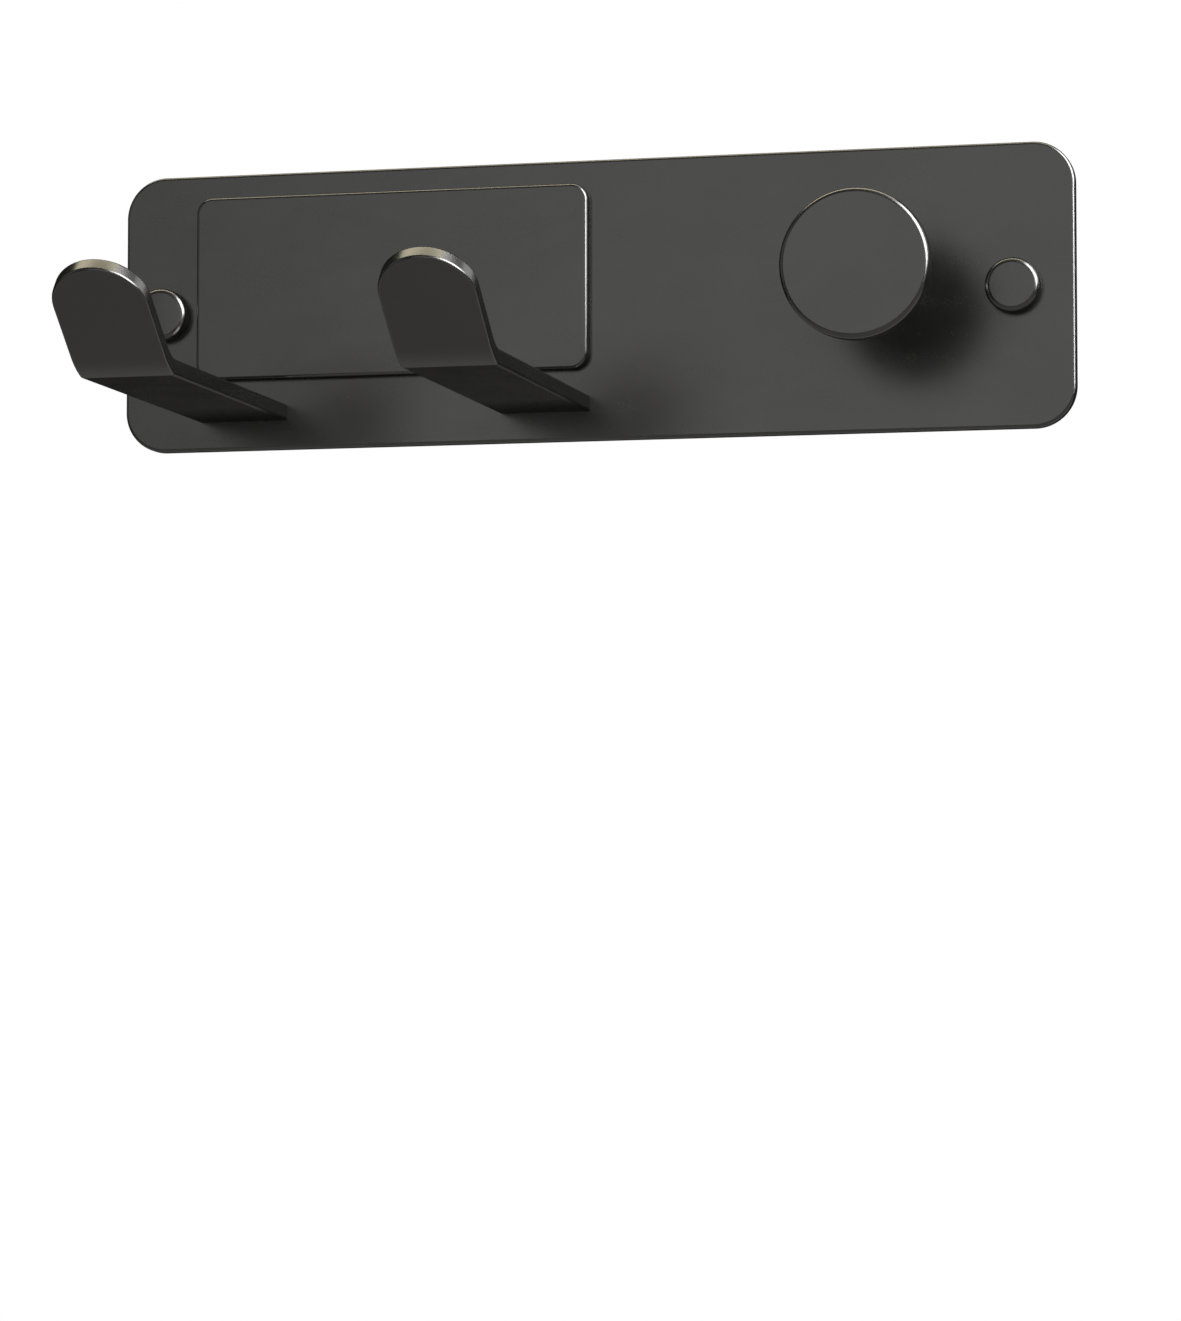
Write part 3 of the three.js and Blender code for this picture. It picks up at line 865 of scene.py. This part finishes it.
# ---------------------------------------------------------------- assembly

coat = black_coat()
dark_screw = black_steel()
bright_steel = zinc_steel()
nylon = grey_nylon()
film = adhesive_film()

settle(back_plate(), "back_plate", "holder", coat)
for side in SIDES:
    screws = [node for node in ARM_SCREW_NODES if node.startswith(side)]
    settle(arm(f"{side}_arm_fine", f"{side}_arm", screws), f"{side}_arm", "holder", coat)
    for node in screws:
        settle(countersunk_screw(f"{node}_fine", node, M2_5), node, "holder", dark_screw)

panel = sheet("rest_panel_fine", "rest_panel", PANEL_CORNER_RADIUS, FRONT_EDGE_ROUND,
              BACK_EDGE_ROUND)
settle(panel, "rest_panel", "holder", coat)
tape = sheet("rest_panel_tape_fine", "rest_panel_tape", TAPE_CORNER_RADIUS, TAPE_EDGE_ROUND,
             TAPE_EDGE_ROUND)
settle(tape, "rest_panel_tape", "holder", film)

settle(cord_post(), "cord_post", "holder", coat)
settle(cord_knob(), "cord_knob", "holder", coat)
settle(knob_stud(), "cord_knob_stud", "holder", bright_steel)
post_screw = countersunk_screw("cord_post_screw_fine", "cord_post_screw", M4)
settle(post_screw, "cord_post_screw", "holder", dark_screw)

for side in SIDES:
    settle(cap_base(side), f"{side}_cap_base", "holder", bright_steel)
    settle(wall_screw(side), f"{side}_wall_screw", "holder", bright_steel)
    settle(wall_plug(side), f"{side}_wall_plug", "holder", nylon)
    settle(screw_cap(side), f"{side}_screw_cap", f"{side}_cap", coat)


# ---------------------------------------------------------------- floor, light and camera


def emission(tree, colour, strength):
    """A glow that no lamp changes."""
    node = tree.nodes.new("ShaderNodeEmission")
    node.inputs["Color"].default_value = (*colour, 1)
    node.inputs["Strength"].default_value = strength
    return node.outputs[0]


def mixed(tree, share, first, second):
    """A shader between two shaders."""
    node = tree.nodes.new("ShaderNodeMixShader")
    tree.links.new(share, node.inputs["Fac"])
    tree.links.new(first, node.inputs[1])
    tree.links.new(second, node.inputs[2])
    return node.outputs[0]


def plain_floor():
    """A pale floor that fades to the white backdrop far away. Mirrors see it as a dim glow.

    It is clear from below, so that it never hides the holder.
    """
    half = FLOOR_SIZE / 2
    builder = bmesh.new()
    corners = ((-half, -half), (half, -half), (half, half), (-half, half))
    builder.faces.new([builder.verts.new((x, y, FLOOR_Z)) for x, y in corners])
    floor = new_object("floor", builder)
    nodes = Nodes("floor_paint")
    nodes.set("Base Color", nodes.blend(nodes.noise(3), (0.80, 0.80, 0.79), (0.83, 0.83, 0.82)))
    nodes.set("Roughness", 0.9)
    length = nodes.tree.nodes.new("ShaderNodeVectorMath")
    length.operation = "LENGTH"
    nodes.link(nodes.place, length.inputs[0])
    far = nodes.remap(length.outputs["Value"], 0, 1, FLOOR_FADE[0] * MM, FLOOR_FADE[1] * MM)
    path = nodes.tree.nodes.new("ShaderNodeLightPath")
    white = emission(nodes.tree, (1, 1, 1), 1)
    split = nodes.tree.nodes.new("ShaderNodeSeparateXYZ")
    nodes.link(nodes.place, split.inputs[0])
    behind = nodes.remap(split.outputs["Y"], FLOOR_GLOW, FLOOR_GLOW_BEHIND,
                         FLOOR_GLOW_RISE[0] * MM, FLOOR_GLOW_RISE[1] * MM)
    near = nodes.remap(length.outputs["Value"], 1, 0,
                       FLOOR_GLOW_FADE[0] * MM, FLOOR_GLOW_FADE[1] * MM)
    dim = emission(nodes.tree, (1.0, 0.98, 0.94), 1)
    nodes.link(nodes.math("MULTIPLY", behind, near), dim.node.inputs["Strength"])
    paint = mixed(nodes.tree, far, nodes.shader.outputs[0], white)
    paint = mixed(nodes.tree, path.outputs["Is Glossy Ray"], paint, dim)
    side = nodes.tree.nodes.new("ShaderNodeNewGeometry")
    clear = nodes.tree.nodes.new("ShaderNodeBsdfTransparent")
    paint = mixed(nodes.tree, side.outputs["Backfacing"], paint, clear.outputs[0])
    nodes.link(paint, nodes.tree.nodes["Material Output"].inputs["Surface"])
    floor.data.materials.append(nodes.material)


def area_light(name, place, size, glow, colour):
    """A soft light at a place, turned to the holder. Glow is how bright its face is."""
    data = bpy.data.lights.new(name, "AREA")
    data.shape = "RECTANGLE"
    data.size, data.size_y = size[0] * MM, size[1] * MM
    data.energy = glow * math.pi * data.size * data.size_y
    data.color = colour
    light = bpy.data.objects.new(name, data)
    scene.collection.objects.link(light)
    light.location = Vector(place) * MM
    light.rotation_euler = (-light.location).to_track_quat("-Z", "Z").to_euler()


def room_light():
    """A white backdrop for the camera, and a dim even grey for everything else."""
    world = bpy.data.worlds.new("room")
    scene.world = world
    world.use_nodes = True
    tree = world.node_tree
    tree.nodes.clear()
    out = tree.nodes.new("ShaderNodeOutputWorld")
    path = tree.nodes.new("ShaderNodeLightPath")
    shades = []
    for colour, strength in (((1.0, 1.0, 1.0), ROOM_GLOW), ((1.0, 1.0, 1.0), 1.0)):
        shade = tree.nodes.new("ShaderNodeBackground")
        shade.inputs["Color"].default_value = (*colour, 1)
        shade.inputs["Strength"].default_value = strength
        shades.append(shade.outputs[0])
    tree.links.new(mixed(tree, path.outputs["Is Camera Ray"], *shades), out.inputs["Surface"])


def place_camera():
    """A long lens in front of the holder, to its right and a little below it."""
    data = bpy.data.cameras.new("camera")
    data.lens = CAMERA_LENS
    data.clip_start, data.clip_end = 0.05, 100
    camera = bpy.data.objects.new("camera", data)
    scene.collection.objects.link(camera)
    camera.location = Vector(CAMERA_PLACE) * MM
    camera.rotation_euler = Vector(CAMERA_LOOK).to_track_quat("-Z", "Y").to_euler()
    scene.camera = camera


plain_floor()
area_light("front_light", (200, -2500, 260), (2600, 1220), 0.345, (1.0, 1.0, 1.0))
area_light("right_light", (1153, -538, 795), (1500, 1200), 7.5, (1.0, 1.0, 1.0))
area_light("far_right_light", (1114, 780, 634), (500, 700), 1.4, (1.0, 1.0, 0.98))
area_light("top_light", (-250, 90, 1500), (1900, 620), 2.6, (1.0, 0.9, 0.66))
area_light("left_light", (-1500, -900, 350), (1200, 1200), 0.13, (1.0, 1.0, 1.0))
area_light("back_light", (-300, 1800, 900), (1600, 900), 0.35, (1.0, 1.0, 1.0))
room_light()
place_camera()
scene.view_settings.view_transform = "Standard"
